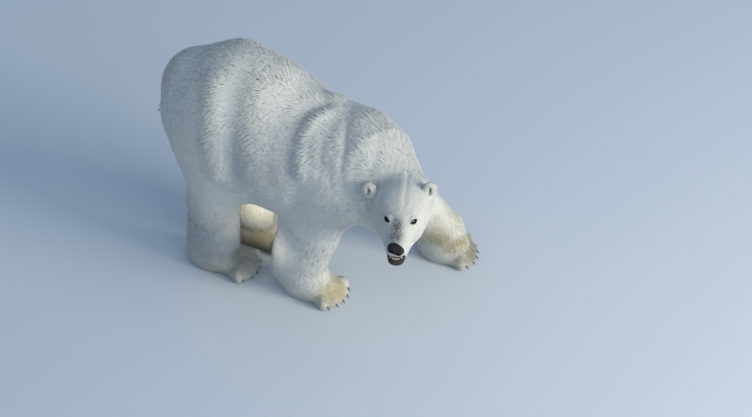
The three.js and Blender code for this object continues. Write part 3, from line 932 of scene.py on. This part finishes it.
# A lock is a closed sliver: a root, three points round its middle and a tip. Its way out is taken
# from the skin, so that the coat is lit as one soft surface. Its patch on the map is 0.003 across.
ring = [middle + way * half[:, None] for way in (across, -across, up * 0.35)]
lock = np.stack([root - up * 1.5, *ring, tip], 1)
lock[..., 2] = np.maximum(lock[..., 2], floor_gap)
soft = unit(np.stack([up, up + across * 0.3, up - across * 0.3, up, up + flow * 0.1], 1))
lock_faces = np.array([(0, 1, 2), (0, 2, 3), (0, 3, 1), (4, 1, 3), (4, 3, 2), (4, 2, 1)])
patch = np.array([(0, -1), (-0.9, 0), (0.9, 0), (0, 0.2), (0, 1)]) * 0.0015

coat_finish, sockets, tone = finish("coat", roughness=0.7, sheen_weight=0.15, sheen_roughness=0.5)
colour = furred(tone, tone.written("along"))
darker = tone.node("ShaderNodeHueSaturation", {}, {"Color": colour, "Value": 0.86, "Saturation": 1.08})
vary(sockets, "Base Color", (tone.written("tint") * 0.8).mixed(colour, darker))

# Each part of the coat is unrolled round a line through it: where the line starts, and its way.
cores = {
    "face": (placed(head, (0, 0, -30)), head[:3, 0]),
    "crown": (placed(head, (0, 0, -30)), head[:3, 0]),
    "neck": ((400, -60, 860), unit((-0.6, -0.4, 0.1))),
}
written = {"tint": tint, "stain": stain_here, "olive": olive_here, "grime_and_painted_shadow": grime_and_painted_shadow_here, "painted_shade_and_dirt": painted_shade_and_dirt_here}
for part in sorted(set(place)):
    mine = chance.permutation(np.flatnonzero(place == part))[:most_locks]
    base, way = cores.get(part, ((0, 0, 850), (1, 0, 0)))
    if "leg" in part:
        base, way = root[mine].mean(0), (0, 0, 1)
    way = np.array(way, float)
    side = unit(np.cross(way, (0.3, 0.2, 0.9)))
    q = root[mine] - base
    around = np.arctan2(q @ np.cross(way, side), q @ side)
    along = q @ way
    spread = np.stack([around, along], 1)
    low, high = spread.min(0), spread.max(0)
    spread = 0.004 + 0.992 * (spread - low) / (high - low)
    mesh = bpy.data.meshes.new(part.replace(" ", "_") + "_coat")
    n = len(mine)
    order = (np.arange(n)[:, None, None] * 5 + lock_faces).ravel()
    mesh.vertices.add(n * 5)
    mesh.vertices.foreach_set("co", in_frame(lock[mine]).astype(np.float32).ravel())
    mesh.loops.add(n * 18)
    mesh.loops.foreach_set("vertex_index", order.astype(np.int32))
    mesh.polygons.add(n * 6)
    mesh.polygons.foreach_set("loop_start", np.arange(0, n * 18, 3, dtype=np.int32))
    mesh.polygons.foreach_set("use_smooth", [True] * (n * 6))
    mesh.update(calc_edges=True)
    where = (spread[:, None] + patch).reshape(-1, 2)[order]
    mesh.uv_layers.new(name="OFBake").data.foreach_set("uv", where.astype(np.float32).ravel())
    mesh.normals_split_custom_set_from_vertices(soft[mine].reshape(-1, 3).tolist())
    mark(mesh, "along", np.tile([0.0, 0.5, 0.5, 0.5, 1.0], n))
    for name, values in written.items():
        mark(mesh, name, np.repeat(values[mine], 5))
    piece = bpy.data.objects.new(part.replace(" ", "_") + "_coat", mesh)
    bpy.context.scene.collection.objects.link(piece)
    mesh.materials.append(coat_finish)
    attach(piece, "root")

# ---------------------------------------------------------------------------------------------
# Floor, light and camera. A plain pale floor under soft studio light: a broad warm lamp ahead of
# the bear, a weak one to its right, a narrow one low under the belly, and a cool glow all round.
# ---------------------------------------------------------------------------------------------
floor = solid("floor", [(-9, -9, 0), (9, -9, 0), (9, 9, 0), (-9, 9, 0)], [(0, 1, 2, 3)])
floor_finish, sockets, tone = finish("pale floor", base_color=(0.66, 0.71, 0.76), roughness=0.9)
floor.data.materials.append(floor_finish)


def lamp(name, at, aim, size, power, colour, beam=None):
    """A square lamp of a given size, or a round one with a narrow beam."""
    light = bpy.data.lights.new(name, "SPOT" if beam else "AREA")
    light.energy, light.color = power, colour
    if beam:
        light.shadow_soft_size, light.spot_size, light.spot_blend = size, math.radians(beam), 1.0
    else:
        light.size = size
    thing = bpy.data.objects.new(name, light)
    thing.location = at
    thing.rotation_euler = (Vector(aim) - Vector(at)).to_track_quat("-Z", "Y").to_euler()
    bpy.context.scene.collection.objects.link(thing)


lamp("key", (10.5, -0.9, 4.5), (0.1, 0, 0.7), 4.2, 980, (1.0, 0.955, 0.85))
lamp("wrap", (7.2, -5.6, 6.4), (0.1, 0, 0.7), 4.5, 120, (1.0, 0.97, 0.90))
lamp("patch", (1.0, -2.85, 0.6), (-0.29, 0.05, 0.35), 0.1, 480, (1.0, 0.96, 0.85), 7)
world = bpy.data.worlds.new("studio")
world.use_nodes = True
world.node_tree.nodes["Background"].inputs["Color"].default_value = (0.52, 0.70, 0.95, 1)
world.node_tree.nodes["Background"].inputs["Strength"].default_value = 0.53
bpy.context.scene.world = world
bpy.context.scene.view_settings.view_transform = "Standard"

camera = bpy.data.objects.new("camera", bpy.data.cameras.new("camera"))
bpy.context.scene.collection.objects.link(camera)
camera.data.lens = 126.7
camera.data.clip_end = 100
camera.location = (4.418, -9.6955, 9.841)
aim = (Vector((0.408, 0.0205, 0.5725)) - camera.location).to_track_quat("-Z", "Y")
camera.rotation_euler = (aim @ Quaternion((0, 0, 1), math.radians(1.04))).to_euler()
bpy.context.scene.camera = camera
